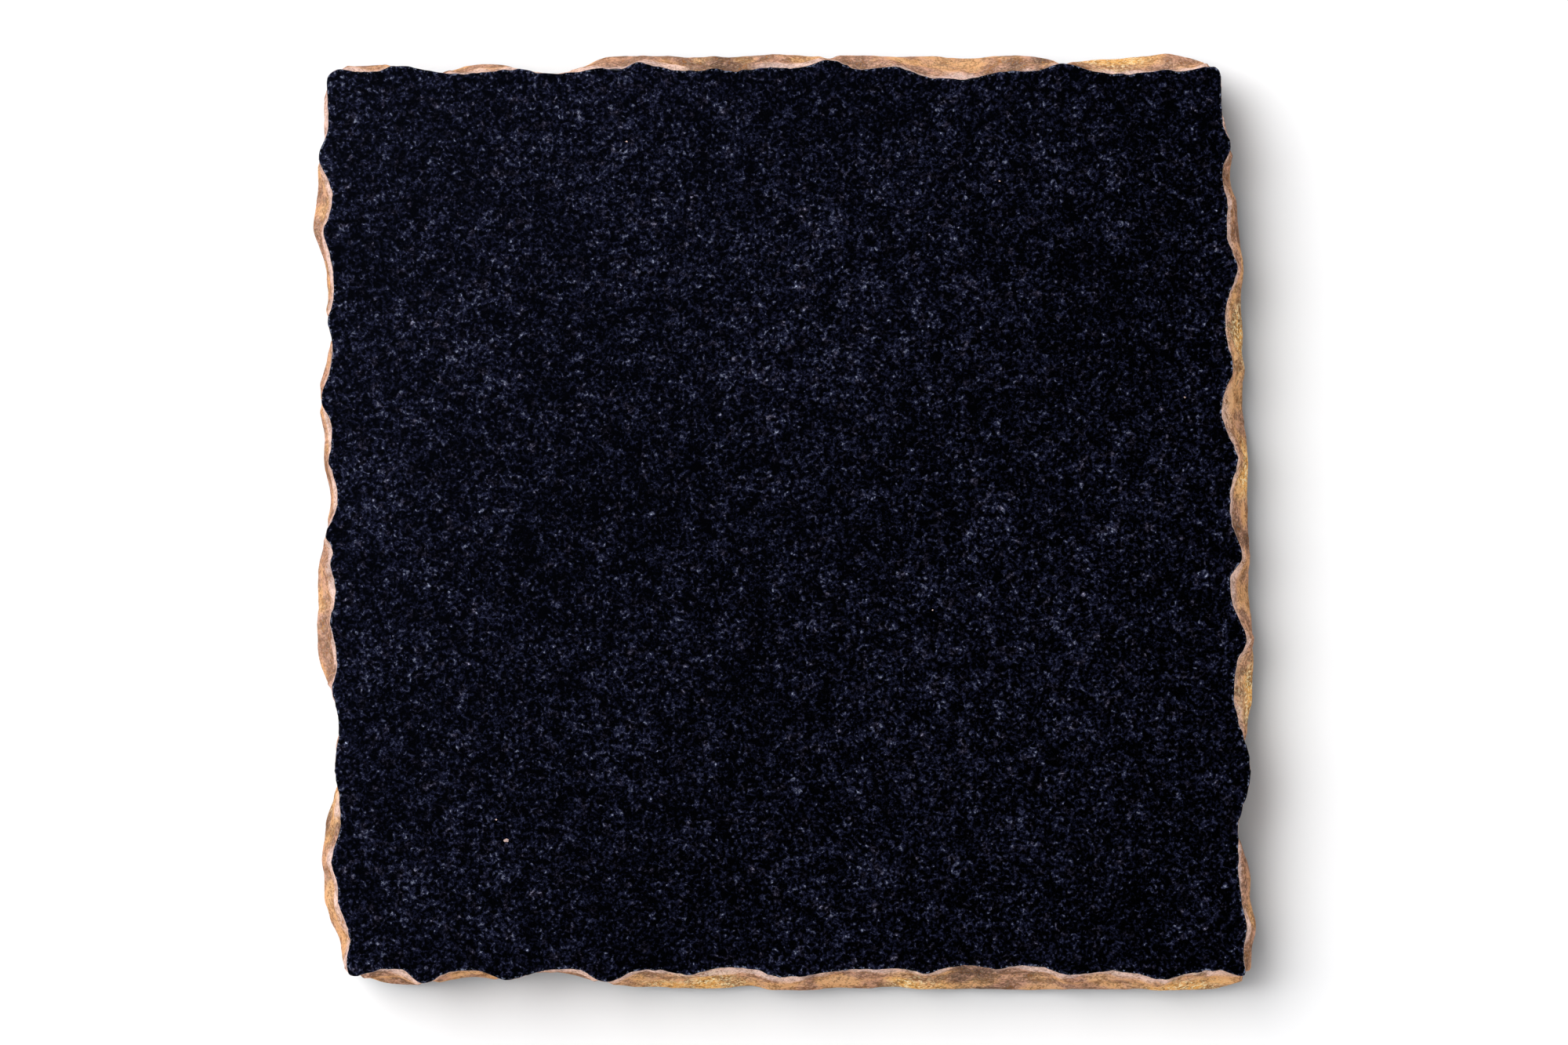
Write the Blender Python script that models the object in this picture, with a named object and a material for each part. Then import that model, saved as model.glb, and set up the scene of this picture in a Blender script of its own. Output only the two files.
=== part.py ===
"""A polished black granite slab with hand-chipped, gilded edges, standing on four stick-on rubber feet.

Metres, +Z up. The origin is on the surface that the slab stands on, below the slab's middle. +X is its
right side and +Y its far side.
"""

import math

import bmesh
import bpy
from mathutils import Vector

MM = 0.001

# The sawn blank, before its edges are chipped: a parallelogram, a little out of square.
SLAB_WIDTH = 100.0 * MM
SLAB_DEPTH = 100.5 * MM
OUT_OF_SQUARE = 1.6 * MM
STONE_THICKNESS = 8.0 * MM

# How far each sawn side is dressed back before it is gilded.
SIDE_DRESSED = 0.30 * MM

# The chips: how far a scoop falls for each unit it cuts in at the top, and at the bottom, and how far
# in it still is at half its height. A land of sawn edge is left below it.
SCOOP_FALL_AT_TOP = 2.2
SCOOP_FALL_AT_BOTTOM = 1.6
SCOOP_HOLLOW = 0.62
LEAST_LAND = 0.5 * MM
LEAST_FLARE = 0.15 * MM
FAN_LENGTH = 7.0 * MM

# The gilding over the chipped edges, with its priming coat: its thickness is measured level.
GILT_THICKNESS = 0.20 * MM
GILT_GAP = 0.10 * MM
GILT_BELOW_FACE = 0.12 * MM
GILT_ABOVE_BOTTOM = 0.25 * MM

# The feet, and the adhesive disc that holds each one.
FOOT_RADIUS = 4.5 * MM
FOOT_HEIGHT = 1.8 * MM
FOOT_EDGE_ROUND = 0.4 * MM
FOOT_INSET_X = 12.0 * MM
FOOT_INSET_Y = 12.0 * MM
ADHESIVE_RADIUS = 4.1 * MM
ADHESIVE_THICKNESS = 0.3 * MM
ADHESIVE_GAP = 0.1 * MM

# How finely round shapes are cut into flats.
ARC_STEP = 2.2 * MM
CORNER_FLATS = 3
FOOT_FLATS = 28
FOOT_EDGE_FLATS = 2

STONE_BOTTOM = FOOT_HEIGHT + ADHESIVE_THICKNESS + 2 * ADHESIVE_GAP
STONE_TOP = STONE_BOTTOM + STONE_THICKNESS
GILT_OUT = GILT_GAP + GILT_THICKNESS
LOWER_STONE_IN = SIDE_DRESSED + GILT_OUT

# Each chip as (ridge, inset, hollow, inset): the ridge where it starts and its deepest point, each
# placed in hundredths of the side's length, and how far in from the sawn side the polished face ends
# there, in millimetres. Near and far sides run left to right, left and right sides near to far.
CHIPS = {
    "near": (
        (4.2, 2.05, 8.0, 2.90), (10.6, 1.20, 15.7, 2.65), (19.5, 1.55, 26.2, 2.85),
        (30.2, 1.20, 35.2, 2.70), (38.7, 2.10, 45.2, 2.90), (48.2, 1.80, 61.2, 2.80),
        (64.2, 2.15, 68.7, 3.20), (71.7, 2.70, 75.2, 3.15), (79.5, 2.10, 84.7, 2.50),
        (89.5, 1.55, 95.7, 2.65),
    ),
    "right": (
        (2.4, 1.50, 4.5, 1.80), (7.3, 1.45, 14.9, 2.25), (23.9, 0.75, 33.3, 2.30),
        (37.6, 0.95, 43.8, 2.70), (46.3, 1.25, 52.2, 2.50), (56.5, 1.50, 62.2, 3.05),
        (66.2, 1.90, 71.1, 2.70), (77.1, 1.30, 81.1, 2.50), (84.1, 2.30, 86.6, 2.75),
        (89.9, 1.70, 94.3, 2.80),
    ),
    "far": (
        (4.0, 2.00, 5.8, 2.35), (9.3, 1.45, 16.8, 2.50), (22.1, 2.05, 26.8, 2.50),
        (31.3, 1.95, 33.3, 2.05), (35.3, 1.35, 40.3, 2.15), (43.8, 1.95, 45.3, 2.10),
        (49.8, 1.75, 51.8, 1.95), (55.8, 0.87, 59.3, 1.95), (62.6, 1.80, 68.8, 3.05),
        (74.3, 2.10, 77.3, 2.25), (80.4, 1.37, 86.3, 2.55), (91.8, 2.05, 93.1, 2.35),
    ),
    "left": (
        (3.2, 2.75, 5.6, 3.05), (9.5, 1.85, 11.4, 2.00), (14.1, 1.20, 18.4, 2.20),
        (24.2, 1.65, 27.9, 2.25), (32.4, 1.55, 35.8, 2.25), (39.6, 1.40, 42.3, 2.20),
        (45.8, 1.60, 47.2, 1.95), (48.5, 1.05, 52.7, 2.60), (56.1, 1.60, 59.2, 2.05),
        (63.0, 0.80, 67.7, 2.20), (71.2, 1.67, 75.1, 2.60), (81.1, 1.50, 84.1, 2.50),
        (88.6, 1.05, 92.5, 2.30),
    ),
}

# The lower outline of the gilded edge as (place, inset from the dressed side), in the same units. It
# bulges out where the inset is negative, and stands in where a chip went right through.
LOWER_OUTLINE = {
    "near": (
        (3.9, 1.2), (7.2, 0.35), (11.2, 0.5), (15.7, 1.2), (19.5, 0.85), (24.7, 1.8), (30.2, 0.5),
        (34.2, 0.0), (60.0, -0.1), (97.0, -0.1),
    ),
    "right": (
        (2.5, 0.5), (7.5, -0.1), (9.6, 0.5), (12.4, 0.25), (17.6, 1.5), (23.9, 0.05), (27.9, 0.7),
        (29.9, -0.2), (35.5, -0.35), (46.3, 0.0), (58.0, 0.0), (70.0, 0.15), (81.6, 0.15),
        (83.8, 0.4), (86.0, 1.3), (88.6, 1.05), (94.8, 2.0),
    ),
    "far": (
        (5.0, 1.0), (9.8, 0.77), (13.0, 1.7), (18.8, 0.7), (26.3, 1.7), (29.8, 1.2), (31.8, 0.0),
        (45.8, 0.0), (50.0, -0.15), (55.3, 0.2), (58.0, 0.0), (78.8, 0.0), (80.6, 0.7),
        (83.8, 0.3), (91.3, -0.3), (94.3, -0.1), (96.4, 0.9),
    ),
    "left": (
        (3.5, 1.6), (10.0, -0.25), (13.4, -0.25), (17.9, 0.0), (21.4, 1.2), (24.4, 0.9),
        (29.4, 1.5), (36.3, -0.4), (43.8, -0.3), (52.2, 1.0), (57.2, 0.5), (59.7, 0.5),
        (62.7, 0.0), (69.3, 1.25), (71.4, 0.9), (74.6, 1.05), (82.6, -0.25), (86.9, 0.4),
        (88.3, 0.25), (91.5, 1.2), (94.0, 1.1),
    ),
}

# Each corner as (inset from the near or far side, inset from the left or right side, radius), in
# millimetres: of the polished face from the sawn sides, and of the gilded lower outline from the
# dressed sides.
FACE_CORNERS = {
    "near_left": (2.05, 2.75, 0.6),
    "near_right": (1.70, 1.30, 0.4),
    "far_right": (1.65, 2.65, 1.1),
    "far_left": (2.00, 2.10, 1.3),
}
LOWER_CORNERS = {
    "near_left": (1.4, 1.7, 1.0),
    "near_right": (0.9, 0.5, 0.9),
    "far_right": (1.1, 2.1, 1.3),
    "far_left": (1.2, 1.5, 1.5),
}

# The sides in order round the slab, counterclockwise from above: the corner that each starts and ends
# at, and whether its places are counted from its end.
SIDES = (
    ("near", "near_left", "near_right", False),
    ("right", "near_right", "far_right", False),
    ("far", "far_right", "far_left", True),
    ("left", "far_left", "near_left", True),
)

STONE_COLOUR = (0.010, 0.012, 0.020)
GILT_COLOUR = (0.76, 0.47, 0.27)
RUBBER_COLOUR = (0.03, 0.03, 0.03)
ADHESIVE_COLOUR = (0.80, 0.80, 0.78)


def clear_scene():
    for obj in list(bpy.data.objects):
        bpy.data.objects.remove(obj, do_unlink=True)


def material(name, colour, roughness, metallic):
    made = bpy.data.materials.new(name)
    made.use_nodes = True
    shader = made.node_tree.nodes["Principled BSDF"]
    shader.inputs["Base Color"].default_value = (*colour, 1.0)
    shader.inputs["Roughness"].default_value = roughness
    shader.inputs["Metallic"].default_value = metallic
    return made


def add_object(name, bm, made_of):
    """Puts the bmesh in the scene as one object, and frees it."""
    mesh = bpy.data.meshes.new(name)
    bm.to_mesh(mesh)
    bm.free()
    mesh.materials.append(made_of)
    obj = bpy.data.objects.new(name, mesh)
    bpy.context.scene.collection.objects.link(obj)
    return obj


# ---------------------------------------------------------------- the sawn blank


def blank_corners():
    half_lean = OUT_OF_SQUARE / 2
    half_width = SLAB_WIDTH / 2
    half_depth = SLAB_DEPTH / 2
    return {
        "near_left": Vector((-half_width + half_lean, -half_depth)),
        "near_right": Vector((half_width + half_lean, -half_depth)),
        "far_right": Vector((half_width - half_lean, half_depth)),
        "far_left": Vector((-half_width - half_lean, half_depth)),
    }


class Side:
    """One sawn side of the blank, with the way along it and the way out of it."""

    def __init__(self, name, start, end, counted_from_end):
        corners = blank_corners()
        self.name = name
        self.start = corners[start]
        self.length = (corners[end] - self.start).length
        self.along = (corners[end] - self.start).normalized()
        self.outward = Vector((self.along.y, -self.along.x))
        self.start_corner = start
        self.end_corner = end
        self.counted_from_end = counted_from_end

    def distance(self, hundredths):
        """The distance from the side's start of a place given in hundredths of its length."""
        share = hundredths / 100
        return self.length * (1 - share if self.counted_from_end else share)

    def point(self, distance, inset):
        return self.start + self.along * distance - self.outward * inset

    def distance_of(self, point):
        return (point - self.start).dot(self.along)


class Corner:
    """The round corner where one outline turns from one side to the next."""

    def __init__(self, before, after, sizes, shift_in):
        across, sideways, radius = (value * MM for value in sizes)
        self.insets = {}
        for side in (before, after):
            facing_near_or_far = side.name in ("near", "far")
            self.insets[side.name] = (across if facing_near_or_far else sideways) + shift_in
        self.radius = radius
        self.before = before
        self.after = after
        in_before = self.insets[before.name] + radius
        in_after = self.insets[after.name] + radius
        turn = before.along.dot(-after.outward)
        lean = before.outward.dot(after.outward)
        self.centre = after.start - before.outward * in_before
        self.centre += before.along * ((in_after - in_before * lean) / turn)

    def point(self, share):
        return self.centre + self.outward(share) * self.radius

    def outward(self, share):
        return (self.before.outward * (1 - share) + self.after.outward * share).normalized()


# ---------------------------------------------------------------- the chipped outlines


def face_outline(side, first_corner, last_corner):
    """Where the polished face ends along a side: (distance, inset, is a hollow) from corner to corner."""
    points = []
    for ridge, ridge_inset, hollow, hollow_inset in CHIPS[side.name]:
        points.append((side.distance(ridge), ridge_inset * MM, False))
        points.append((side.distance(hollow), hollow_inset * MM, True))
    points.append((side.distance_of(first_corner.centre), first_corner.insets[side.name], False))
    points.append((side.distance_of(last_corner.centre), last_corner.insets[side.name], False))
    return sorted(points)


def lower_outline(side, first_corner, last_corner):
    """Where the stone ends at the bottom along a side: (distance, inset) from corner to corner."""
    points = [
        (side.distance(place), inset * MM + LOWER_STONE_IN)
        for place, inset in LOWER_OUTLINE[side.name]
    ]
    points.append((side.distance_of(first_corner.centre), first_corner.insets[side.name]))
    points.append((side.distance_of(last_corner.centre), last_corner.insets[side.name]))
    return sorted(points)


def arc_inset(start, end, share):
    """Part of a chip's arc between a ridge and its hollow, level with the side at the hollow."""
    (_, inset, hollow), (_, end_inset, end_hollow) = start, end
    if hollow == end_hollow:
        return inset + (end_inset - inset) * share
    if end_hollow:
        return end_inset + (inset - end_inset) * (1 - share) ** 2
    return inset + (end_inset - inset) * share**2


def smooth_inset(points, distance):
    """The lower outline's inset at a distance along the side, eased from each point to the next."""
    for (start, inset), (end, end_inset) in zip(points, points[1:]):
        if distance <= end:
            share = min(max((distance - start) / (end - start), 0.0), 1.0)
            ease = (1 - math.cos(math.pi * share)) / 2
            return inset + (end_inset - inset) * ease
    return points[-1][1]


def fan(distance, face_points, lower_points):
    """How much further along the side a column stands at the bottom, so that columns meet the corner."""
    face_start, face_end = face_points[0][0], face_points[-1][0]
    lower_start, lower_end = lower_points[0][0], lower_points[-1][0]
    near_start = max(1 - (distance - face_start) / FAN_LENGTH, 0.0) ** 2
    near_end = max(1 - (face_end - distance) / FAN_LENGTH, 0.0) ** 2
    return (lower_start - face_start) * near_start + (lower_end - face_end) * near_end


class Column:
    """One upright line down the chipped edge: its plan points, the way out, and its scoop's fall."""

    def __init__(self, face, lower, outward, fall):
        self.face = face
        self.lower = lower
        self.outward = outward
        self.fall = min(fall, STONE_THICKNESS - LEAST_LAND)

    def rows(self, out=0.0):
        """The column's points from bottom to top, moved out level by the given distance."""
        middle = self.lower.lerp(self.face, SCOOP_HOLLOW)
        land = STONE_TOP - self.fall
        half_way = STONE_TOP - self.fall / 2
        rim = STONE_TOP - GILT_BELOW_FACE
        near_top = self.face.lerp(middle, GILT_BELOW_FACE / (STONE_TOP - half_way))
        levels = (
            (self.lower, STONE_BOTTOM),
            (self.lower, land),
            (middle, half_way),
            (near_top, rim),
            (self.face, STONE_TOP),
        )
        return [Vector((*(plan + self.outward * out), height)) for plan, height in levels]


def scoop_fall(face_inset, lower_inset):
    return face_inset * SCOOP_FALL_AT_TOP + max(lower_inset, 0.0) * SCOOP_FALL_AT_BOTTOM


def side_columns(side, face_points, lower_points):
    columns = []
    for start, end in zip(face_points, face_points[1:]):
        flats = max(1, round((end[0] - start[0]) / ARC_STEP))
        for i in range(flats):
            share = i / flats
            distance = start[0] + (end[0] - start[0]) * share
            inset = arc_inset(start, end, share)
            below = distance + fan(distance, face_points, lower_points)
            lower_inset = min(smooth_inset(lower_points, below), inset - LEAST_FLARE)
            columns.append(
                Column(
                    side.point(distance, inset),
                    side.point(below, lower_inset),
                    side.outward,
                    scoop_fall(inset, lower_inset),
                )
            )
    return columns


def corner_columns(face_corner, lower_corner):
    """The columns round a corner, from the end of one side up to the start of the next."""
    before = face_corner.before.name
    fall = scoop_fall(face_corner.insets[before], lower_corner.insets[before])
    return [
        Column(
            face_corner.point(i / CORNER_FLATS),
            lower_corner.point(i / CORNER_FLATS),
            face_corner.outward(i / CORNER_FLATS),
            fall,
        )
        for i in range(CORNER_FLATS)
    ]


def edge_columns():
    """Every column round the slab, counterclockwise from above."""
    sides = [Side(*each) for each in SIDES]
    face_corners = {}
    lower_corners = {}
    for before, after in zip(sides, sides[1:] + sides[:1]):
        name = after.start_corner
        face_corners[name] = Corner(before, after, FACE_CORNERS[name], 0.0)
        lower_corners[name] = Corner(before, after, LOWER_CORNERS[name], LOWER_STONE_IN)
    columns = []
    for side in sides:
        first, last = side.start_corner, side.end_corner
        face_points = face_outline(side, face_corners[first], face_corners[last])
        lower_points = lower_outline(side, lower_corners[first], lower_corners[last])
        columns += side_columns(side, face_points, lower_points)
        columns += corner_columns(face_corners[last], lower_corners[last])
    return columns


# ---------------------------------------------------------------- the solids


def add_loops(bm, rows_of_columns):
    """Adds each row as a loop of vertices round the slab, and gives the loops from bottom to top."""
    return [[bm.verts.new(point) for point in row] for row in zip(*rows_of_columns)]


def skin(bm, lower, upper, facing_in=False):
    """A band of triangles between two loops, split the same way whichever way it faces."""
    for i, j in zip(range(len(lower)), [*range(1, len(lower)), 0]):
        for corners in ((lower[i], lower[j], upper[j]), (lower[i], upper[j], upper[i])):
            bm.faces.new(reversed(corners) if facing_in else corners)


def granite_slab(columns):
    bm = bmesh.new()
    loops = add_loops(bm, [column.rows() for column in columns])
    for lower, upper in zip(loops, loops[1:]):
        skin(bm, lower, upper)
    bm.faces.new(reversed(loops[0]))
    bm.faces.new(loops[-1])
    return add_object("granite_slab", bm, material("polished_granite", STONE_COLOUR, 0.12, 0.0))


def gilded_edge(columns):
    """A thin sleeve of gilding that follows every chip, open at the top and the bottom."""
    bm = bmesh.new()
    faces = []
    for out in (GILT_OUT, GILT_GAP):
        rows = [column.rows(out)[:-1] for column in columns]
        for row in rows:
            row[0].z += GILT_ABOVE_BOTTOM
        faces.append(add_loops(bm, rows))
    outer, inner = faces
    for lower, upper in zip(outer, outer[1:]):
        skin(bm, lower, upper)
    for lower, upper in zip(inner, inner[1:]):
        skin(bm, lower, upper, facing_in=True)
    skin(bm, outer[-1], inner[-1])
    skin(bm, inner[0], outer[0])
    return add_object("gilded_edge", bm, material("gilding", GILT_COLOUR, 0.38, 1.0))


def disc(name, radius, height, bottom, made_of):
    bm = bmesh.new()
    bmesh.ops.create_cone(
        bm, cap_ends=True, segments=FOOT_FLATS, radius1=radius, radius2=radius, depth=height
    )
    obj = add_object(name, bm, made_of)
    obj.location.z = bottom + height / 2
    obj.data.shade_smooth()
    obj.data.set_sharp_from_angle(angle=math.radians(40))
    return obj


def round_lower_edge(foot):
    mesh = foot.data
    lowest = min(vertex.co.z for vertex in mesh.vertices)
    weights = mesh.attributes.new("bevel_weight_edge", "FLOAT", "EDGE")
    for edge in mesh.edges:
        ends = [mesh.vertices[i].co.z for i in edge.vertices]
        weights.data[edge.index].value = float(max(ends) - lowest < FOOT_HEIGHT / 2)
    bevel = foot.modifiers.new("round_lower_edge", "BEVEL")
    bevel.limit_method = "WEIGHT"
    bevel.width = FOOT_EDGE_ROUND
    bevel.segments = FOOT_EDGE_FLATS


def foot_places():
    """The middle of each foot, set in from the blank's corner along both sides."""
    for name, corner in blank_corners().items():
        towards_middle = (
            -math.copysign(FOOT_INSET_X, corner.x),
            -math.copysign(FOOT_INSET_Y, corner.y),
        )
        yield name, corner + Vector(towards_middle)


def feet():
    rubber = material("foot_rubber", RUBBER_COLOUR, 0.7, 0.0)
    adhesive = material("foot_adhesive", ADHESIVE_COLOUR, 0.6, 0.0)
    for name, place in foot_places():
        foot = disc(f"foot_{name}", FOOT_RADIUS, FOOT_HEIGHT, 0.0, rubber)
        round_lower_edge(foot)
        pad = disc(
            f"foot_adhesive_{name}",
            ADHESIVE_RADIUS,
            ADHESIVE_THICKNESS,
            FOOT_HEIGHT + ADHESIVE_GAP,
            adhesive,
        )
        for obj in (foot, pad):
            obj.location.x, obj.location.y = place


def main():
    clear_scene()
    columns = edge_columns()
    granite_slab(columns)
    gilded_edge(columns)
    feet()


main()
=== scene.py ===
"""The looks of a polished black granite slab with hand-chipped, gilded edges, on four rubber feet.

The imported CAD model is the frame: every piece is placed and sized from its nodes. Lengths in this
script are in millimetres, heights are above the surface that the slab stands on, and they become
metres where a mesh is made. +Z is up, +X the slab's right side and +Y its far side.
"""

import math

import bpy
import numpy as np
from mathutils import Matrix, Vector
from mathutils.bvhtree import BVHTree


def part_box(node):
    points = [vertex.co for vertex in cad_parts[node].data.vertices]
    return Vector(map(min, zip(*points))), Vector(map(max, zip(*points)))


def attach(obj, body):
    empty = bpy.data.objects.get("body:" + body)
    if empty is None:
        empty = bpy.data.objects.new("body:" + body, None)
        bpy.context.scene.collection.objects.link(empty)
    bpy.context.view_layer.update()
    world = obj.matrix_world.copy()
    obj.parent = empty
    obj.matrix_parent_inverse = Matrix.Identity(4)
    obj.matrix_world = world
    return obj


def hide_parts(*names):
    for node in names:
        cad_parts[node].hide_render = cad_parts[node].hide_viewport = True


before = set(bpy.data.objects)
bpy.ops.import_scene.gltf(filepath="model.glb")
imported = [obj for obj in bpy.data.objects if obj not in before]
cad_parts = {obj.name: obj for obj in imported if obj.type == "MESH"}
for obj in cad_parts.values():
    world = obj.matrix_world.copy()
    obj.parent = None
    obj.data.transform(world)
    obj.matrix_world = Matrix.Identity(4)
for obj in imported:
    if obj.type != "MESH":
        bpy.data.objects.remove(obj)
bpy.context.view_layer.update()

MM = 0.001

# ---------------------------------------------------------------- sizes, in millimetres

# The camera looks straight down on the polished face, and sees this width of its plane.
CAMERA_OVER_FACE = 700.0
SENSOR_WIDTH = 36.0
VIEW_WIDTH_AT_FACE = 500 / 3

# The grid that the chipped side is worked out on: upright columns round a rail inside the slab's box,
# and rows down from the polished face. The columns fan out round each corner of the rail.
RAIL_INSET = 7.0
COLUMN_STEP = 0.255
FAN_COLUMNS = 40
ROW_STEP = 0.1

# Rays are cast inward from this far out, and this far inside a solid's top and bottom.
CAST_FROM = 30.0
INSIDE = 0.01

# The side follows the CAD stone at the rim, the CAD gilding below this depth, and is blurred this much
# along the slab and down it.
FULL_WIDTH_DEPTH = 1.2
SIDE_BLUR = (0.55, 0.3)

# How the rim of the polished face is rounded, how far down that shapes the side, and how far the side
# stands back under a ridge where the CAD side hardly flares.
RIM_BLUR = 0.3
RIDGE_SHARPNESS = 1.35
RIM_SHAPE_DEPTH = 3.0
TUCK_UNDER_RIDGE = 0.5
LEAST_FLARE = 0.45
EASING_FLARE = 0.4

# The chips: shell-shaped scars over the side, each cut this share of its half length, and nibbles along
# the rim, which die out this far down. The relief is shallower at the rim and towards the underside.
SCAR_COUNT = 520
SCAR_CUT = 0.16
NIBBLE_COUNT = 330
NIBBLE_DEPTH = 0.45
LEAST_RELIEF = 0.25
FULL_RELIEF_DEPTH = 0.9
CALM_FROM_DEPTH = 2.5
CALM_OVER_DEPTH = 2.5
CALMED_BY = 0.5
RELIEF_OUTWARD = 0.12
RIPPLE_HEIGHT = 0.016
# The relief's own roughness: a height, and its size along the slab and down it.
ROUGHNESSES = ((0.055, 2.6, 1.6), (0.030, 0.95, 0.7), (0.018, 0.5, 0.36))

# The gilding is a thin film on the stone. It starts just below the rim and ends above the underside.
FILM_THICKNESS = 0.045
FILM_GAP = 0.008
FILM_ROWS = 29
FILM_TOP = 0.03
FILM_BOTTOM = 0.22
BLISTER_HEIGHT = 0.006

# The polished face: rings just inside its broken rim, and where its flat middle starts, out from the
# rail. The band from the last ring to the rim's edge drops by at least the rim drop.
RIM_RINGS = (0.45, 0.06)
CAP_REACH = 3.0
RIM_EDGE = 0.01
RIM_DROP = 0.012
BOTTOM_BITE = 0.05

# The stone's three finishes, by the number of their material slot.
POLISHED, BROKEN, SAWN = 0, 1, 2


def rng(seed):
    return np.random.default_rng(seed)


def smooth_step(value):
    value = np.clip(value, 0.0, 1.0)
    return value * value * (3 - 2 * value)


# ---------------------------------------------------------------- the camera


def make_camera():
    data = bpy.data.cameras.new("camera")
    data.sensor_width = SENSOR_WIDTH
    data.lens = SENSOR_WIDTH * CAMERA_OVER_FACE / VIEW_WIDTH_AT_FACE
    camera = bpy.data.objects.new("camera", data)
    camera.location = (0, 0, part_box("granite_slab")[1].z + CAMERA_OVER_FACE * MM)
    bpy.context.scene.collection.objects.link(camera)
    bpy.context.scene.camera = camera


# ---------------------------------------------------------------- the grid round the chipped side


class Grid:
    """Upright columns round the slab, counterclockwise from above, each with its foot on the rail, its
    way out and its distance along the rail; and the depths of the rows below the polished face."""

    def __init__(self):
        low, high = (np.array(corner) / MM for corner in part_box("granite_slab"))
        self.top = high[2]
        self.bottom = low[2]
        self.thickness = self.top - self.bottom
        near, far = low[1] + RAIL_INSET, high[1] - RAIL_INSET
        left, right = low[0] + RAIL_INSET, high[0] - RAIL_INSET
        corners = np.array([(left, near), (right, near), (right, far), (left, far)])
        feet, angles, along, in_fan = [], [], [], []
        travelled = 0.0
        for k in range(4):
            start, end = corners[k], corners[(k + 1) % 4]
            facing = math.pi / 2 * (k - 1)
            length = np.linalg.norm(end - start)
            steps = round(length / COLUMN_STEP)
            for i in range(steps):
                feet.append(start + (end - start) * i / steps)
                angles.append(facing)
                along.append(travelled + length * i / steps)
                in_fan.append(False)
            travelled += length
            for i in range(FAN_COLUMNS):
                turn = math.pi / 2 * i / FAN_COLUMNS
                feet.append(end)
                angles.append(facing + turn)
                along.append(travelled + RAIL_INSET * turn)
                in_fan.append(True)
            travelled += RAIL_INSET * math.pi / 2
        self.feet = np.array(feet)
        self.out = np.stack([np.cos(angles), np.sin(angles)], axis=1)
        self.along = np.array(along)
        self.in_fan = np.array(in_fan)
        self.length = travelled
        self.columns = len(feet)
        self.depths = np.arange(0, self.thickness + ROW_STEP / 2, ROW_STEP)

    def reach(self, node, depths):
        """How far out from the rail the CAD node's surface lies, at each column and depth."""
        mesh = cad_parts[node].data
        tree = BVHTree.FromPolygons(
            [vertex.co for vertex in mesh.vertices],
            [tuple(polygon.vertices) for polygon in mesh.polygons],
        )
        found = np.full((self.columns, len(depths)), np.nan)
        starts = (self.feet + self.out * CAST_FROM) * MM
        for column, (start, out) in enumerate(zip(starts, self.out)):
            inward = Vector((-out[0], -out[1], 0.0))
            for row, depth in enumerate(depths):
                origin = Vector((start[0], start[1], (self.top - depth) * MM))
                distance = tree.ray_cast(origin, inward)[3]
                if distance is not None:
                    found[column, row] = CAST_FROM - distance / MM
        return found

    def gap(self, distance_along):
        """The signed distance along the rail from there to each column, the short way round."""
        half = self.length / 2
        return (self.along - distance_along + half) % self.length - half

    def points(self, reach, depth):
        """The points that far out from the rail and that far below the polished face."""
        plan = self.feet[:, None, :] + self.out[:, None, :] * reach[:, :, None]
        return np.concatenate([plan, (self.top - depth)[:, :, None]], axis=2)

    def column_near(self, x, y):
        """The column whose line outward passes nearest to a point in plan."""
        offset = np.array([x, y]) - self.feet
        ahead = (offset * self.out).sum(axis=1)
        aside = np.abs(offset[:, 0] * self.out[:, 1] - offset[:, 1] * self.out[:, 0])
        return int(np.where(ahead > 0, aside, np.inf).argmin())


def bell(spread):
    """The steps and weights of a Gaussian blur of this spread."""
    span = math.ceil(3 * spread)
    steps = np.arange(-span, span + 1)
    weights = np.exp(-0.5 * (steps / spread) ** 2)
    return steps, weights / weights.sum()


def soften(values, along, down):
    """Gaussian blur over the grid with these spreads in columns and rows; it wraps round the slab."""
    result = values
    if along:
        steps, weights = bell(along)
        result = sum(w * np.roll(result, k, axis=0) for w, k in zip(weights, steps))
    if down:
        steps, weights = bell(down)
        span, rows = steps[-1], result.shape[1]
        padded = np.pad(result, ((0, 0), (span, span)), mode="edge")
        result = sum(w * padded[:, k + span : k + span + rows] for w, k in zip(weights, steps))
    return result


def unit_spread(noise):
    return (noise - noise.mean()) / noise.std()


def grid_noise(grid, seed, along_mm, down_mm):
    """Smooth noise of unit spread over the grid, with features of about these sizes."""
    white = rng(seed).standard_normal((grid.columns, len(grid.depths)))
    return unit_spread(soften(white, along_mm / COLUMN_STEP / 2, down_mm / ROW_STEP / 2))


def line_noise(grid, seed, along_mm):
    """The same along one line round the slab."""
    white = rng(seed).standard_normal((grid.columns, 1))
    return unit_spread(soften(white, along_mm / COLUMN_STEP / 2, 0)[:, 0])


def at_depths(values, depths):
    """The grid's values at these depths, one row of depths for each column."""
    place = np.clip(depths / ROW_STEP, 0, values.shape[1] - 1.001)
    row = place.astype(int)
    share = place - row
    column = np.arange(len(depths))[:, None]
    return values[column, row] * (1 - share) + values[column, row + 1] * share


# ---------------------------------------------------------------- the chipped side


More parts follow.
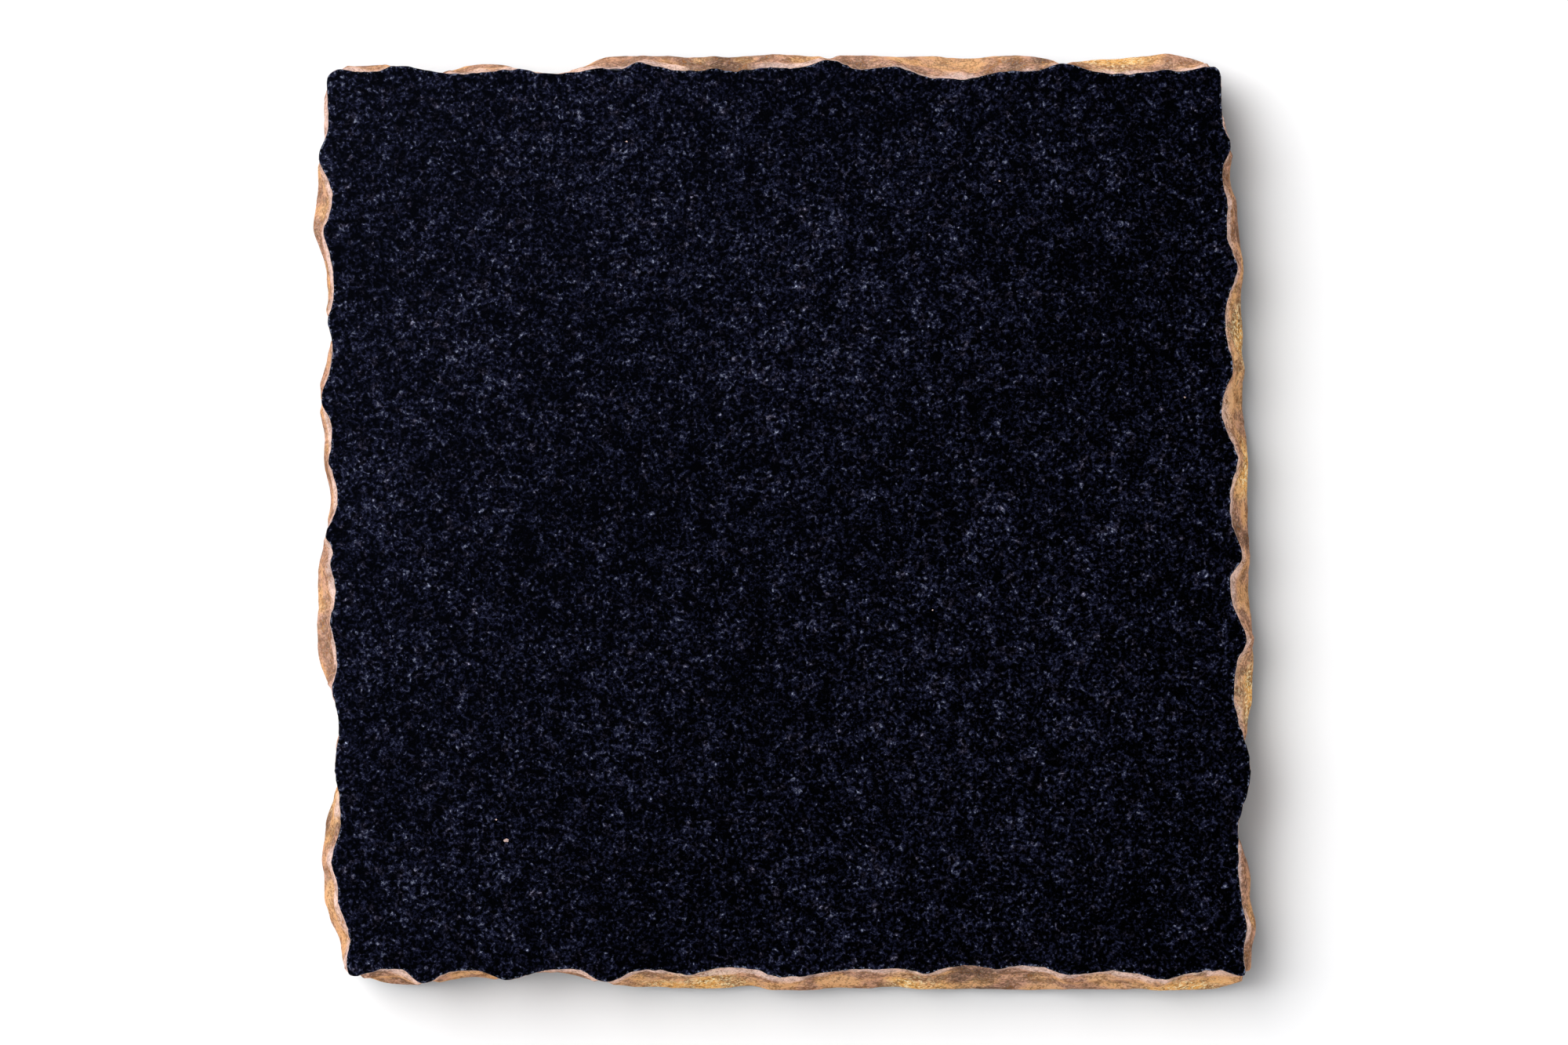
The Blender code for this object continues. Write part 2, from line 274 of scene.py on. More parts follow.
def rounder_rim(grid, rim):
    """The rim's line with its ridges rounded off and its bays flattened, between the same turning
    points. The corners stay as they are."""
    line = soften(rim[:, None], RIM_BLUR / COLUMN_STEP, 0)[:, 0]
    rises = line - np.roll(line, 1) > 0
    turns = np.flatnonzero(rises != np.roll(rises, -1))
    result = line.copy()
    for first, last in zip(turns, [*turns[1:], turns[0] + len(line)]):
        columns = np.arange(first, last) % len(line)
        if grid.in_fan[columns].any():
            continue
        ends = line[first], line[last % len(line)]
        share = np.linspace(0, 1, len(columns), endpoint=False)
        from_hollow = share if ends[0] < ends[1] else 1 - share
        lift = np.sin(math.pi / 2 * from_hollow**RIDGE_SHARPNESS) ** 2
        result[columns] = min(ends) + abs(ends[1] - ends[0]) * lift
    return result


def chipped_side(grid):
    """How far out the finished side stands over the whole grid: the CAD stone's rim at the polished
    face, easing to the outside of the CAD gilding further down, and tucked in below each ridge."""
    just_inside = np.clip(grid.depths, INSIDE, grid.thickness - INSIDE)
    stone = grid.reach("granite_slab", just_inside)
    film_top = grid.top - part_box("gilded_edge")[1].z / MM
    film_bottom = grid.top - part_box("gilded_edge")[0].z / MM
    on_film = np.clip(grid.depths, film_top + INSIDE, film_bottom - INSIDE)
    film = grid.reach("gilded_edge", on_film)
    share = smooth_step(grid.depths / FULL_WIDTH_DEPTH)
    outside = stone * (1 - share) + np.fmax(film, stone) * share
    outside = soften(outside, SIDE_BLUR[0] / COLUMN_STEP, SIDE_BLUR[1] / ROW_STEP)
    rim = rounder_rim(grid, stone[:, 0])
    outside += (rim - outside[:, 0])[:, None] * np.clip(1 - grid.depths / RIM_SHAPE_DEPTH, 0, 1)
    flare = (outside - rim[:, None]).max(axis=1)
    tuck = TUCK_UNDER_RIDGE * (1 - smooth_step((flare - LEAST_FLARE) / EASING_FLARE))
    return outside - tuck[:, None] * share


class Scar:
    """One shallow shell-shaped chip, struck from its upper end."""

    def __init__(self, draw, grid):
        self.along = draw.uniform(0, grid.length)
        self.depth = draw.uniform(-0.3, grid.thickness + 0.3)
        self.half_length = draw.uniform(0.7, 1.0) * draw.uniform(1.0, 3.6)
        self.half_height = self.half_length * draw.uniform(0.45, 0.9)
        self.cut = SCAR_CUT * self.half_length * draw.uniform(0.7, 1.3)
        self.lean = draw.uniform(-0.6, 0.6)
        self.pitch = draw.uniform(0.45, 0.8)
        self.phase = draw.uniform(0, 2 * math.pi)


def scars(grid, count, seed):
    """How far the scars cut in over the grid, and each one's ripples, which spread from its upper end."""
    draw = rng(seed)
    cut = np.zeros((grid.columns, len(grid.depths)))
    ripple = np.zeros_like(cut)
    for scar in (Scar(draw, grid) for _ in range(count)):
        gap = grid.gap(scar.along)
        near = np.flatnonzero(np.abs(gap) < scar.half_length * 1.8)
        across = gap[near, None]
        down = grid.depths[None, :] - scar.depth
        place = (across + scar.lean * down) / scar.half_length
        bowl = 1 - place**2 - (down / scar.half_height) ** 2
        depth = scar.cut * bowl
        deeper = depth > cut[near]
        from_strike = np.hypot(across, down + scar.half_height)
        waves = np.sin(2 * math.pi * from_strike / scar.pitch + scar.phase)
        waves *= np.clip(bowl * 2, 0, 1)
        cut[near] = np.where(deeper, depth, cut[near])
        ripple[near] = np.where(deeper, waves, ripple[near])
    return cut, ripple


def rim_nibbles(grid, count, seed):
    """How far tiny chips take the polished face's rim in, along the rim."""
    draw = rng(seed)
    cut = np.zeros(grid.columns)
    for _ in range(count):
        half_length = draw.uniform(0.2, 0.75)
        depth = half_length * draw.uniform(0.08, 0.22)
        gap = grid.gap(draw.uniform(0, grid.length))
        cut = np.maximum(cut, depth * (1 - (gap / half_length) ** 2))
    return cut


class Side:
    """The finished side's shape over the grid."""

    def __init__(self, grid):
        self.grid = grid
        outside = chipped_side(grid)
        cut, ripple = scars(grid, SCAR_COUNT, seed=11)
        relief = RELIEF_OUTWARD - cut + RIPPLE_HEIGHT * ripple
        for seed, (height, along, down) in enumerate(ROUGHNESSES, start=21):
            relief += height * grid_noise(grid, seed, along, down)
        easing = LEAST_RELIEF + (1 - LEAST_RELIEF) * smooth_step(grid.depths / FULL_RELIEF_DEPTH)
        calm = smooth_step((grid.depths - CALM_FROM_DEPTH) / CALM_OVER_DEPTH)
        easing *= 1 - CALMED_BY * calm
        self.nibbles = rim_nibbles(grid, NIBBLE_COUNT, seed=31)
        rim = np.clip(1 - grid.depths / NIBBLE_DEPTH, 0, 1)
        self.film_outside = outside + relief * easing - self.nibbles[:, None] * rim
        self.hollow = cut / cut.max()
        self.stone = self.film_outside - (FILM_THICKNESS + FILM_GAP)
        self.film_top = FILM_TOP + 0.05 * np.abs(line_noise(grid, 41, 0.7))
        self.film_top += 0.16 * np.clip(line_noise(grid, 42, 1.6) - 0.9, 0, 1.5)
        film_bottom = grid.thickness - FILM_BOTTOM - 0.09 * np.abs(line_noise(grid, 43, 1.1))
        closer_at_top = np.linspace(0, 1, FILM_ROWS) ** 1.12
        self.film_depths = self.film_top[:, None] + (
            (film_bottom - self.film_top)[:, None] * closer_at_top[None, :]
        )

    def stone_at(self, depth):
        """How far out the stone stands at one depth for each column."""
        return at_depths(self.stone, depth[:, None])[:, 0]


# ---------------------------------------------------------------- meshes


def add_mesh(name, points_mm, faces, materials, face_materials=None, sharp_degrees=None):
    """A new object of these points in millimetres, with its faces shaded smooth."""
    mesh = bpy.data.meshes.new(name)
    mesh.from_pydata((np.asarray(points_mm) * MM).tolist(), [], faces)
    mesh.validate()
    for made in materials:
        mesh.materials.append(made)
    if face_materials is not None:
        mesh.polygons.foreach_set("material_index", face_materials)
    mesh.shade_smooth()
    if sharp_degrees is not None:
        mesh.set_sharp_from_angle(angle=math.radians(sharp_degrees))
    mesh.update()
    obj = bpy.data.objects.new(name, mesh)
    bpy.context.scene.collection.objects.link(obj)
    return obj


def add_attribute(obj, name, values):
    attribute = obj.data.attributes.new(name, "FLOAT", "POINT")
    attribute.data.foreach_set("value", np.asarray(values, np.float32).ravel())


def band_faces(first, second):
    """Quads between two closed loops of vertex numbers, facing out where the second lies below."""
    ahead_first = np.roll(first, -1)
    ahead_second = np.roll(second, -1)
    return np.stack([first, second, ahead_second, ahead_first], axis=1).tolist()


def make_slab(side, polished, broken, sawn):
    """The stone: its polished face, chipped side and sawn underside, as one closed mesh."""
    grid = side.grid
    n = grid.columns
    level, underside = np.zeros(n), np.full(n, grid.thickness)
    rim_reach = side.stone_at(level) + FILM_THICKNESS + FILM_GAP
    rim_drop = RIM_DROP + 0.02 * np.abs(line_noise(grid, 51, 0.6)) + side.nibbles * 0.35
    lip_depth = np.maximum(rim_drop + 0.01, side.film_top * 0.6)
    bottom_bite = BOTTOM_BITE + 0.05 * np.abs(line_noise(grid, 52, 0.9))
    foot_depth = grid.thickness - bottom_bite
    rows = [(np.full(n, CAP_REACH), level)]
    rows += [(rim_reach - ring, level) for ring in RIM_RINGS]
    polished_bands = len(rows) - 1
    rows.append((rim_reach - RIM_EDGE, rim_drop))
    rows += [(side.stone_at(depth), depth) for depth in (lip_depth, *side.film_depths.T, foot_depth)]
    broken_bands = len(rows) - 1 - polished_bands
    rows.append((side.stone_at(foot_depth) - 2.0 * bottom_bite, underside))
    rows.append((np.full(n, CAP_REACH), underside))
    reach = np.stack([row[0] for row in rows], axis=1)
    depth = np.stack([row[1] for row in rows], axis=1)
    points = grid.points(reach, depth).transpose(1, 0, 2).reshape(-1, 3)
    numbers = np.arange(len(rows) * n).reshape(len(rows), n)
    faces = [numbers[0].tolist()]
    slots = [POLISHED]
    for band, (first, second) in enumerate(zip(numbers, numbers[1:])):
        faces += band_faces(first, second)
        if band < polished_bands:
            slots += [POLISHED] * n
        elif band < polished_bands + broken_bands:
            slots += [BROKEN] * n
        else:
            slots += [SAWN] * n
    faces.append(numbers[-1][::-1].tolist())
    slots.append(SAWN)
    materials = (polished, broken, sawn)
    slab = add_mesh("slab_stone", points, faces, materials, slots, sharp_degrees=35)
    # The two flat sides stay flat up to their edges, so that they mirror evenly.
    slab.data.polygons.foreach_set("use_smooth", [slot == BROKEN for slot in slots])
    at_rim = np.zeros((len(rows), n))
    at_rim[polished_bands] = 1.0
    add_attribute(slab, "at_rim", at_rim)
    return slab


def film_faces(columns, rows):
    """A closed tube's faces: the outer side, the inner side, and the walls between them at the top and
    the bottom. The vertices are the outer ones, column by column, and then the inner ones."""
    outer = np.arange(columns * rows).reshape(columns, rows)
    inner = outer + columns * rows
    faces = []
    for row in range(rows - 1):
        faces += band_faces(outer[:, row], outer[:, row + 1])
        faces += band_faces(inner[:, row + 1], inner[:, row])
    faces += band_faces(inner[:, 0], outer[:, 0])
    faces += band_faces(outer[:, -1], inner[:, -1])
    return faces


# Stray flecks of gilding on the polished face: where each lies, and how big it is.
STRAY_FLECKS = (
    (-29.5, -33.8, 0.26),
    (-16.75, 40.5, 0.13),
    (42.6, 13.3, 0.12),
    (15.8, -9.3, 0.10),
    (-30.6, -31.6, 0.11),
    (22.9, 36.3, 0.10),
)
FLECK_THICKNESS = 0.012
FLECK_POINTS = 11
FLECK_NARROWING = 0.75


def add_flecks(points, faces, top):
    """Adds each stray fleck to the film as a low ragged dome."""
    draw = rng(61)
    for x, y, radius in STRAY_FLECKS:
        first = len(points)
        ragged = draw.uniform(0.6, 1.25, FLECK_POINTS)
        for share, height in ((1.0, -0.002), (0.85, FLECK_THICKNESS * 0.7)):
            for k in range(FLECK_POINTS):
                angle = 2 * math.pi * k / FLECK_POINTS
                reach = radius * share * ragged[k]
                across = reach * FLECK_NARROWING * math.sin(angle)
                points.append((x + reach * math.cos(angle), y + across, top + height))
        points.append((x, y, top + FLECK_THICKNESS))
        lower = list(range(first, first + FLECK_POINTS))
        upper = [k + FLECK_POINTS for k in lower]
        peak = first + 2 * FLECK_POINTS
        faces.append(tuple(reversed(lower)))
        for k in range(FLECK_POINTS):
            ahead = (k + 1) % FLECK_POINTS
            faces.append((lower[k], lower[ahead], upper[ahead], upper[k]))
            faces.append((upper[k], upper[ahead], peak))


# Where the leaf lies yellower, smoother and more metallic low on the side, with painted highlight there:
# a lighter colour and more painted glints. Each is a point in plan, and how far it spreads.
SHINY_LEAF_AND_PAINTED_HIGHLIGHT = (
    (-9.5, -52, 6.0),
    (14.0, -52, 3.0),
    (42.5, -52, 4.5),
    (52, 20.0, 4.0),
    (52, 5.5, 3.0),
    (52, -18.5, 4.0),
    (-52, 21.0, 3.0),
    (-52, -29.0, 2.0),
    (-25.0, 52, 4.0),
    (35.0, 52, 4.0),
)
# Where it is thin, and the dark priming shows through.
THIN_LEAF = (
    (20.3, -52, 3.2),
    (-52, -32.5, 1.6),
    (24.5, 52, 1.2),
    (27.5, 52, 1.0),
    (-6.5, 52, 5.0),
    (52, -2.0, 0.9),
)


def patches(grid, places):
    """A weight from 0 to 1 over the columns, near each of these places."""
    weight = np.zeros(grid.columns)
    for x, y, spread in places:
        there = grid.along[grid.column_near(x, y)]
        weight = np.maximum(weight, np.exp(-0.5 * (grid.gap(there) / spread * 1.6) ** 2))
    return weight


def make_film(side, gilding):
    """The gilding: a thin closed film over the chipped side, ragged at both edges."""
    grid = side.grid
    depths = side.film_depths
    outer = at_depths(side.film_outside, depths)
    blister = BLISTER_HEIGHT * np.clip(at_depths(grid_noise(grid, 71, 0.7, 0.6), depths), -1, 3)
    rows_from_edge = np.minimum(np.arange(FILM_ROWS), np.arange(FILM_ROWS)[::-1])
    lifted = outer + blister * smooth_step(rows_from_edge / 3)
    inner = outer - FILM_THICKNESS
    skins = [grid.points(reach, depths).reshape(-1, 3) for reach in (lifted, inner)]
    points = np.concatenate(skins).tolist()
    faces = film_faces(grid.columns, FILM_ROWS)
    add_flecks(points, faces, grid.top)
    film = add_mesh("gilded_film", points, faces, (gilding,), sharp_degrees=32)

    low = smooth_step((depths - 0.25 * grid.thickness) / (0.5 * grid.thickness))
    attributes = {
        "below_rim": depths - side.film_top[:, None],
        "hollow": at_depths(side.hollow, depths),
        "shiny_leaf_and_painted_highlight": patches(grid, SHINY_LEAF_AND_PAINTED_HIGHLIGHT)[:, None] * (0.25 + 0.75 * low),
        "thin_leaf": patches(grid, THIN_LEAF)[:, None] * np.ones_like(depths),
    }
    on_flecks = np.zeros(len(points) - 2 * depths.size)
    for name, values in attributes.items():
        add_attribute(film, name, np.concatenate([values.ravel(), values.ravel(), on_flecks]))
    return film


# ---------------------------------------------------------------- feet

# A rubber foot's edges are rounded by this much, and a shallow recess in its underside leaves a ring.
ROUND_SEGMENTS = 96
FOOT_TOP_ROUND = 0.12
FOOT_BOTTOM_ROUND = 0.4
FOOT_RING = 1.5
RECESS_SLOPE = 0.2
RECESS_DEPTH = 0.12
# Its adhesive disc is drawn in a little between its two skins.
DISC_GAP = 0.005
DISC_SKIN = 0.12
DISC_WAIST = 0.03


def turned(name, centre, profile, made_of):
    """A solid turned round an upright axis. The profile runs from the axis at the top, down its outer
    side, to the axis at the bottom, as (radius, height)."""
    points = []
    for radius, height in profile[1:-1]:
        for k in range(ROUND_SEGMENTS):
            angle = 2 * math.pi * k / ROUND_SEGMENTS
            plan = (centre[0] + radius * math.cos(angle), centre[1] + radius * math.sin(angle))
            points.append((*plan, height))
    rings = np.arange(len(points)).reshape(-1, ROUND_SEGMENTS)
    top, bottom = len(points), len(points) + 1
    points += [(centre[0], centre[1], profile[end][1]) for end in (0, -1)]
    faces = []
    for k in range(ROUND_SEGMENTS):
        ahead = (k + 1) % ROUND_SEGMENTS
        faces.append((top, int(rings[0, k]), int(rings[0, ahead])))
        faces.append((bottom, int(rings[-1, ahead]), int(rings[-1, k])))
    for upper, lower in zip(rings, rings[1:]):
        faces += band_faces(upper, lower)
    return add_mesh(name, points, faces, (made_of,), sharp_degrees=30)


def quarter_round(radius, height, size, steps, lower):
    """A rounded edge's points from its top to its bottom, at this outer radius and end height."""
    points = []
    for k in range(steps + 1):
        angle = math.pi / 2 * k / steps
        by_cos, by_sin = size * (1 - math.cos(angle)), size * (1 - math.sin(angle))
        if lower:
            points.append((radius - by_cos, height + by_sin))
        else:
            points.append((radius - by_sin, height - by_cos))
    return points


def round_box(node):
    """A round CAD node's centre, radius, underside and top, in millimetres."""
    low, high = (np.array(corner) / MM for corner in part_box(node))
    return (low + high) / 2, (high[0] - low[0]) / 2, low[2], high[2]


def make_foot(place, rubber):
    centre, radius, underside, top = round_box("foot_" + place)
    ring = radius - FOOT_RING
    recess = underside + RECESS_DEPTH
    profile = [(0, top)]
    profile += quarter_round(radius, top, FOOT_TOP_ROUND, 4, lower=False)
    profile += quarter_round(radius, underside, FOOT_BOTTOM_ROUND, 8, lower=True)
    profile += [(ring, underside), (ring - RECESS_SLOPE, recess), (0, recess)]
    return turned("rubber_foot_" + place, centre, profile, rubber)


def make_adhesive(place, foam):
    centre, radius, _, _ = round_box("foot_adhesive_" + place)
    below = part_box("foot_" + place)[1].z / MM + DISC_GAP
    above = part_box("granite_slab")[0].z / MM - DISC_GAP
    waist = radius - DISC_WAIST
    profile = [(0, above), (radius, above), (waist, above - DISC_SKIN)]
    profile += [(waist, below + DISC_SKIN), (radius, below), (0, below)]
    return turned("adhesive_disc_" + place, centre, profile, foam)


# ---------------------------------------------------------------- material nodes


class Nodes:
    """The nodes of a material or of the world, with a short call for each kind."""

    def __init__(self, owner, shader="Principled BSDF"):
        owner.use_nodes = True
        self.owner = owner
        self.tree = owner.node_tree
        self.shader = self.tree.nodes[shader]

    def add(self, kind, inputs=None, **settings):
        node = self.tree.nodes.new(kind)
        for key, value in settings.items():
            setattr(node, key, value)
        for socket, value in (inputs or {}).items():
            self.join(node, socket, value)
        return node

    def join(self, node, socket, value):
        if isinstance(value, bpy.types.NodeSocket):
            self.tree.links.new(value, node.inputs[socket])
        else:
            node.inputs[socket].default_value = value

    def set(self, **inputs):
        """Sets or links the shader's own inputs; an underscore stands for a space."""
        for socket, value in inputs.items():
            self.join(self.shader, socket.replace("_", " "), value)

    def place(self, turn=(0.0, 0.0, 0.0), stretch=(1.0, 1.0, 1.0)):
        """The place on the piece in millimetres, turned and stretched."""
        where = self.add("ShaderNodeTexCoord").outputs["Object"]
        inputs = {"Vector": where, "Rotation": turn, "Scale": (1 / MM,) * 3}
        in_mm = self.add("ShaderNodeMapping", inputs).outputs["Vector"]
        if stretch == (1.0, 1.0, 1.0):
            return in_mm
        inputs = {"Vector": in_mm, "Scale": tuple(1 / s for s in stretch)}
        return self.add("ShaderNodeMapping", inputs).outputs["Vector"]

    def noise(self, place, size, detail=2.0, roughness=0.5):
        inputs = {"Vector": place, "Scale": 1 / size, "Detail": detail, "Roughness": roughness}
        return self.add("ShaderNodeTexNoise", inputs).outputs["Fac"]

    def cells(self, place, size, output="Color"):
        """Voronoi cells: a colour for each one, or the distance from its middle."""
        inputs = {"Vector": place, "Scale": 1 / size}
        return self.add("ShaderNodeTexVoronoi", inputs).outputs[output]

    def maths(self, operation, a, b=0.0, clamp=False):
        node = self.add("ShaderNodeMath", {0: a, 1: b}, operation=operation, use_clamp=clamp)
        return node.outputs[0]

    def times(self, a, b):
        return self.maths("MULTIPLY", a, b)

    def sum(self, first, *others):
        for other in others:
            first = self.maths("ADD", first, other)
        return first

    def centred(self, value, weight, middle=0.5):
        """How far a value is from its middle, weighted."""
        inputs = {0: value, 1: weight, 2: -middle * weight}
        return self.add("ShaderNodeMath", inputs, operation="MULTIPLY_ADD").outputs[0]

    def dot(self, vector, direction):
        inputs = {0: vector, 1: direction}
        node = self.add("ShaderNodeVectorMath", inputs, operation="DOT_PRODUCT")
        return node.outputs["Value"]

    def fit(self, value, low, high, to_low=0.0, to_high=1.0):
        """The value eased from one range to another."""
        inputs = {"Value": value, 1: low, 2: high, 3: to_low, 4: to_high}
        node = self.add("ShaderNodeMapRange", inputs, interpolation_type="SMOOTHSTEP")
        return node.outputs["Result"]

    def blend(self, share, a, b, blend_type="MIX"):
        """From colour a to colour b."""
        node = self.add("ShaderNodeMix", data_type="RGBA", blend_type=blend_type)
        self.join(node, 0, share)
        for index, colour in ((6, a), (7, b)):
            if not isinstance(colour, bpy.types.NodeSocket):
                colour = (*colour, 1.0)
            self.join(node, index, colour)
        return node.outputs[2]

    def scaled(self, colour, factor):
        """A colour made lighter or darker."""
        node = self.add("ShaderNodeVectorMath", operation="SCALE")
        self.join(node, "Vector", colour)
        self.join(node, "Scale", factor)
        return node.outputs["Vector"]

    def grey(self, colour):
        """A colour's red channel, as a number."""
        return self.add("ShaderNodeSeparateColor", {0: colour}).outputs["Red"]

    def attribute(self, name):
        return self.add("ShaderNodeAttribute", attribute_name=name).outputs["Fac"]

    def bump(self, height, distance_mm, strength=1.0, under=None):
        inputs = {"Height": height, "Distance": distance_mm * MM, "Strength": strength}
        if under is not None:
            inputs["Normal"] = under
        return self.add("ShaderNodeBump", inputs).outputs["Normal"]


def new_material(name):
    return Nodes(bpy.data.materials.new(name))


# ---------------------------------------------------------------- the granite

# Painted light: the stone grows slightly paler this way, towards the lights; the change in the grain's
# power per millimetre.
PAINTED_LIGHT_TOWARDS = (-0.005, 0.002, 0.0)
# How much of the middle brightness is taken off everywhere, so that the ground goes black, and what
# share of it is always left.
GROUND_SHARE = 0.46
LEAST_LIGHT = 0.04
# The lath-shaped crystals lie three ways.
LATH_TURNS = (0.35, 1.4, 2.45)
LATH_SIZE = (0.62, 0.28, 0.45)


def warped_place(nodes):
    """The place on the piece, shifted to and fro so that cells have uneven outlines."""
    here, half = nodes.place(), (0.5, 0.5, 0.5)
    inputs = {"Vector": here, "Scale": 1.4, "Detail": 1.0}
    warp = nodes.add("ShaderNodeTexNoise", inputs).outputs["Color"]
    shift = nodes.add("ShaderNodeVectorMath", {0: warp, 1: half}, operation="SUBTRACT").outputs[0]
    inputs = {0: shift, 1: half, 2: here}
    return nodes.add("ShaderNodeVectorMath", inputs, operation="MULTIPLY_ADD").outputs[0]


def grain(nodes):
    """The granite's crystals, as the power that their brightness is raised to."""
    here, warped = nodes.place(), warped_place(nodes)
    powers = [nodes.centred(nodes.noise(warped, 0.36, 2.0, 0.6), 9.5)]
    for size, weight in ((0.28, 1.6), (0.5, 1.3)):
        powers.append(nodes.centred(nodes.grey(nodes.cells(warped, size)), weight))
    for turn in LATH_TURNS:
        lath = nodes.cells(nodes.place((0, 0, turn), LATH_SIZE), 1.0)
        powers.append(nodes.centred(nodes.grey(lath), 0.8))
    clusters = nodes.centred(nodes.noise(here, 2.4, 1.0), 2.4)
    drift = nodes.centred(nodes.noise(here, 22.0, 1.0), 1.2)
    # The last term is painted light: the stone paler towards the lights.
    return nodes.sum(*powers, clusters, drift, nodes.dot(here, PAINTED_LIGHT_TOWARDS))


def granite_colour(nodes, middle, spread):
    """The granite's colour, near black with blue-grey crystals that grow rarer the paler they are, and
    its brightness."""
    power = nodes.times(grain(nodes), spread)
    light = nodes.centred(nodes.maths("EXPONENT", power), middle, GROUND_SHARE)
    light = nodes.maths("MAXIMUM", light, middle * LEAST_LIGHT)
    pale = nodes.fit(light, middle * 2, middle * 20)
    blue = nodes.blend(pale, (0.33, 0.37, 0.95), (0.66, 0.73, 1.0))
    brown_share = nodes.fit(nodes.noise(nodes.place(), 1.3, 2.0), 0.52, 0.70, 0.0, 0.55)
    tint = nodes.blend(brown_share, blue, (0.62, 0.50, 0.72))
    return nodes.scaled(tint, light), light


def polished_granite():
    """Black and mirror smooth, with crushed paler grains along the rim."""
    nodes = new_material("polished_granite")
    colour, _ = granite_colour(nodes, 0.0054, 1.02)
    along_rim = nodes.fit(nodes.attribute("at_rim"), 0.35, 0.9)
    crushed = nodes.fit(nodes.noise(nodes.place(), 0.3, 2.0, 0.6), 0.55, 0.66)
    crushed = nodes.times(crushed, along_rim)
    colour = nodes.blend(crushed, colour, (0.10, 0.12, 0.19))
    roughness = nodes.fit(crushed, 0.0, 1.0, 0.08, 0.5)
    nodes.set(Base_Color=colour, Roughness=roughness, IOR=1.5)
    return nodes.owner


def broken_granite():
    """Paler and dull, where the chips left it bare."""
    nodes = new_material("broken_granite")
    colour, light = granite_colour(nodes, 0.014, 0.8)
    height = nodes.sum(nodes.noise(nodes.place(), 0.25, 3.0, 0.65), light)
    roughness = nodes.fit(nodes.noise(nodes.place(), 0.5, 2.0), 0.3, 0.7, 0.4, 0.75)
    nodes.set(Base_Color=colour, Roughness=roughness, Normal=nodes.bump(height, 0.06, 0.8))
    return nodes.owner


def sawn_granite():
    """The underside: a saw's arcs and streaks, with dust in patches."""
    nodes = new_material("sawn_granite")
    colour, _ = granite_colour(nodes, 0.022, 0.55)
    inputs = {
        "Vector": nodes.place((0, 0, 0.3)),
        "Scale": 0.55,
        "Distortion": 1.5,
        "Detail": 3.0,
        "Detail Scale": 2.0,
    }
    waves = nodes.add("ShaderNodeTexWave", inputs, wave_type="RINGS", rings_direction="Z")
    streak = nodes.noise(nodes.place((0, 0, 0.1), (12.0, 0.25, 1.0)), 1.0, 2.0)
    height = nodes.sum(nodes.times(waves.outputs["Fac"], 0.4), streak)
    dust = nodes.fit(nodes.noise(nodes.place(), 6.0, 4.0, 0.6), 0.45, 0.75, 0.0, 0.35)
    colour = nodes.blend(dust, colour, (0.10, 0.10, 0.105))
    roughness = nodes.fit(streak, 0.3, 0.7, 0.42, 0.62)
    nodes.set(Base_Color=colour, Roughness=roughness, Normal=nodes.bump(height, 0.03, 0.5))
    return nodes.owner


# ---------------------------------------------------------------- the gilding


# The leaf's colours, and the colour of its painted glints.
ROSE_GOLD = (0.475, 0.276, 0.203)
YELLOW_GOLD = (0.70, 0.415, 0.150)
PALE_PINK = (0.68, 0.51, 0.47)
DEEP_GRAIN_BROWN = (0.37, 0.150, 0.050)
PAINTED_GLINT = (1.0, 0.84, 0.52)
MOST_TONE = 1.35


